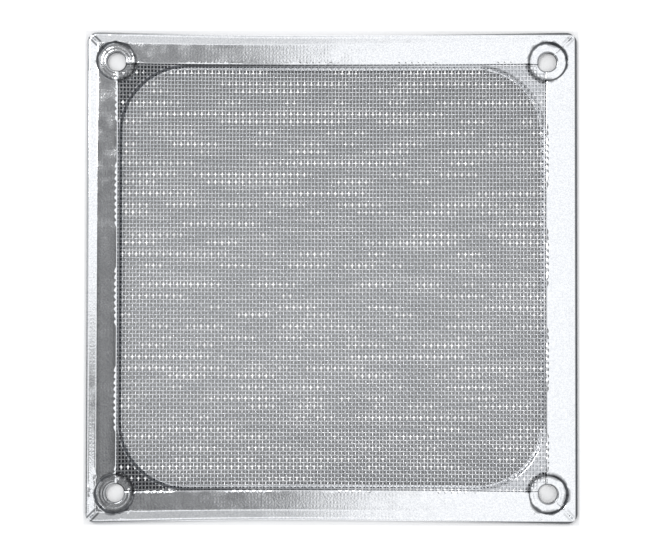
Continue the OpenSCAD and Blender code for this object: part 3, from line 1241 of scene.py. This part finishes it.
@dataclass(frozen=True)
class SoftTent:
    """A white tent of light, with a grey gap overhead and a dim low part of the room.

    Places overhead go by their slopes from straight up, to the right and ahead. Lower ones go by
    their height, which is 1 straight up, and by the side that they lie on, from -1 to 1.
    """

    white: str = "#fcfdff"
    tent_light: float = 1.12
    lowest: float = 0.1
    least_flat: float = 0.001
    ahead_start: float = 0.026
    # The gap's right side leans, and the gap widens downwards
    gap_side: float = 0.038
    gap_widening: Span = (-0.19, 0.042)
    gap_least: float = 0.02
    gap_corner: Span = (0.36, 0.42)
    gap_left: Span = (-0.27, -0.36)
    gap_foot: Span = (-0.19, -0.28)
    # Its light grows to the right and ahead, and is uneven
    gap_light: Span = (0.9, 0.35)
    gap_dimmest: float = 0.06
    gap_ahead: float = 0.3
    clutter: Span = (28.0, 1.0)
    uneven: Span = (0.36, 0.64, 0.55, 1.6)
    # The dim low part is darkest on the right and absent on the left
    low: Span = (0.23, 0.31, 1.0, 0.0)
    low_right: Span = (-0.2, 0.25, 0.0, 0.96)
    horizon: Span = (0.06, 0.14, 0.9, 0.0)
    # Half way up on the left, the tent is greyer in front than behind
    halfway: Span = (0.93, 0.75)
    grey_left: Span = (0.03, -0.07)
    grey_front: Span = (-0.3, -0.9, 0.0, 0.5)
    grey_behind: Span = (0.3, 0.9, 0.0, 0.28)
    # Farther left, a dim stretch lies towards the front
    dim_left: Span = (-0.5, -0.7)
    dim_front: Span = (-0.15, 0.02, 0.2, 1.0)
    dim_foot: Span = (-0.18, -0.21)

    def build(self) -> bpy.types.World:
        """Builds the world.

        Returns:
            The world.
        """
        world = bpy.data.worlds.new("soft_tent")
        world.use_nodes = True
        world.node_tree.nodes.clear()
        add = partial(add_node, world.node_tree)
        x, y, z = add(PARTS, [add("ShaderNodeTexCoord").outputs["Generated"]]).outputs
        level = add(MATHS, [z, self.lowest], "MAXIMUM")
        right, up = (add(MATHS, [way, level], "DIVIDE") for way in (x, y))
        ahead = add(MATHS, [up, self.ahead_start], "SUBTRACT")
        square = add(MATHS, [x, x], "MULTIPLY")
        both = add(MATHS, [y, y, square], "MULTIPLY_ADD")
        flat = add(MATHS, [add(MATHS, [both], "SQRT"), self.least_flat], "MAXIMUM")
        side, front = (add(MATHS, [way, flat], "DIVIDE") for way in (x, y))
        from_side = add(MATHS, [right, self.gap_side], "ADD")
        widening = add(MATHS, [ahead, *self.gap_widening], "MULTIPLY_ADD")
        width = add(MATHS, [widening, self.gap_least], "MAXIMUM")
        across = add(MATHS, [from_side, width], "DIVIDE")
        corner = add(MATHS, [ahead, right], "SUBTRACT")

        # How far each stretch of light has come, with soft ends or with even ones
        soft, even = {"interpolation_type": "SMOOTHSTEP"}, {}
        part = {
            name: add(RANGE, [value, *span], **ends)
            for name, value, span, ends in (
                ("past side", across, (0.0, 1.0), soft),
                ("past corner", corner, self.gap_corner, soft),
                ("past left", right, self.gap_left, soft),
                ("past foot", ahead, self.gap_foot, soft),
                ("low", z, self.low, soft),
                ("low right", side, self.low_right, even),
                ("horizon", z, self.horizon, even),
                ("halfway", z, self.halfway, soft),
                ("grey left", right, self.grey_left, soft),
                ("grey front", front, self.grey_front, even),
                ("grey behind", front, self.grey_behind, even),
                ("dim left", right, self.dim_left, soft),
                ("dim front", ahead, self.dim_front, soft),
                ("dim foot", ahead, self.dim_foot, soft),
            )
        }
        lit = part["past side"]
        for name in ("past corner", "past left", "past foot"):
            lit = add(MATHS, [lit, part[name]], "MAXIMUM")
        growing = add(MATHS, [right, *self.gap_light], "MULTIPLY_ADD")
        least = add(MATHS, [growing, self.gap_dimmest], "MAXIMUM")
        even_shade = add(MATHS, [ahead, self.gap_ahead, least], "MULTIPLY_ADD")
        slopes = add(JOIN, {"X": right, "Y": ahead})
        uneven = add(RANGE, [add(NOISE, [slopes, *self.clutter]), *self.uneven])
        shade = add(MATHS, [even_shade, uneven], "MULTIPLY")
        rest = add(MATHS, [self.tent_light, shade], "SUBTRACT")
        gap = add(MATHS, [lit, rest, shade], "MULTIPLY_ADD")

        dim = add(MATHS, [part["low"], part["low right"]], "MULTIPLY")
        dim = add(MATHS, [dim, part["horizon"]], "MAXIMUM")
        grey = add(MATHS, [part["grey front"], part["grey behind"]], "ADD")
        for name in ("grey left", "halfway"):
            grey = add(MATHS, [grey, part[name]], "MULTIPLY")
        front_light = add(MATHS, [part["dim front"], part["dim foot"]], "MAXIMUM")
        dimmer = add(MATHS, [1.0, front_light], "SUBTRACT")
        stretch = add(MATHS, [dimmer, part["dim left"]], "MULTIPLY")
        strength = gap
        for shadow in (dim, grey, stretch):
            kept = add(MATHS, [1.0, shadow], "SUBTRACT")
            strength = add(MATHS, [strength, kept], "MULTIPLY")
        glow = add("ShaderNodeBackground", {"Color": linear(self.white), "Strength": strength})
        add("ShaderNodeOutputWorld", {"Surface": glow})
        return world


@dataclass
class Studio:
    """The floor, the soft light and the camera. Angles are in degrees."""

    form: GuardForm
    centre: Vector
    low: float
    lens: float = 100.0
    sensor: float = 36.0
    view_width: float = 161.7
    elevation: float = 88.5
    turn: float = 0.1
    aim: Span = (0.35, -0.1, 0.0)
    floor_drop: float = 0.02
    # The lamp's power is in watts, and these other sizes are in metres
    lamp_power: float = 2.2
    lamp_size: float = 0.35
    lamp_at: Span = (-0.36, 0.29, 0.8)
    floor_half: float = 4.0
    clip: Span = (0.01, 20.0)

    def add_floor(self) -> None:
        """Lays the floor under the guard."""
        drop = self.low - self.floor_drop * MM
        mesh = bpy.data.meshes.new("floor")
        signs = ((-1, -1), (1, -1), (1, 1), (-1, 1))
        corners = [(x * self.floor_half, y * self.floor_half, drop) for x, y in signs]
        mesh.from_pydata(corners, [], [(0, 1, 2, 3)])
        mesh.materials.append(PaleFloor(self.form).material())
        put("floor", mesh)

    def add_lamp(self) -> None:
        """Hangs the one large lamp up on the left."""
        light = bpy.data.lights.new("soft_box", "AREA")
        light.shape, light.size, light.energy = "DISK", self.lamp_size, self.lamp_power
        lamp = put("soft_box", light)
        lamp.location = self.centre + Vector(self.lamp_at)
        lamp.rotation_euler = (self.centre - lamp.location).to_track_quat("-Z", "Y").to_euler()

    def add_camera(self) -> None:
        """Sets the camera almost straight above the guard."""
        data = bpy.data.cameras.new("camera")
        data.lens, data.sensor_width = self.lens, self.sensor
        data.clip_start, data.clip_end = self.clip
        camera = put("camera", data)
        target = self.centre + Vector(self.aim) * MM
        reach = self.view_width * MM * self.lens / self.sensor
        rise = math.radians(self.elevation)
        camera.location = target + reach * Vector((0, -math.cos(rise), math.sin(rise)))
        camera.rotation_euler = (math.pi / 2 - rise, 0, math.radians(self.turn))
        bpy.context.scene.camera = camera

    def build(self) -> None:
        """Sets up everything round the guard."""
        self.add_camera()
        self.add_floor()
        bpy.context.scene.world = SoftTent().build()
        self.add_lamp()
        bpy.context.scene.view_settings.view_transform = "Standard"


def main() -> None:
    """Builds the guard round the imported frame."""
    logging.basicConfig(level=logging.INFO, format="%(message)s")
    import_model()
    low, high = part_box("frame")
    form = GuardForm(half=(high.x - low.x) / 2 / MM)
    Studio(form, centre=(low + high) / 2, low=low.z).build()
    cloth = WireCloth(form)
    frame = FoldedFrame(form).build(RolledSheet(form, cloth).material())
    wires = cloth.build(DrawnWire(form, cloth).material())
    LOG.info("built %s", ", ".join(piece.name for piece in [frame, *wires]))


if __name__ == "__main__":
    main()
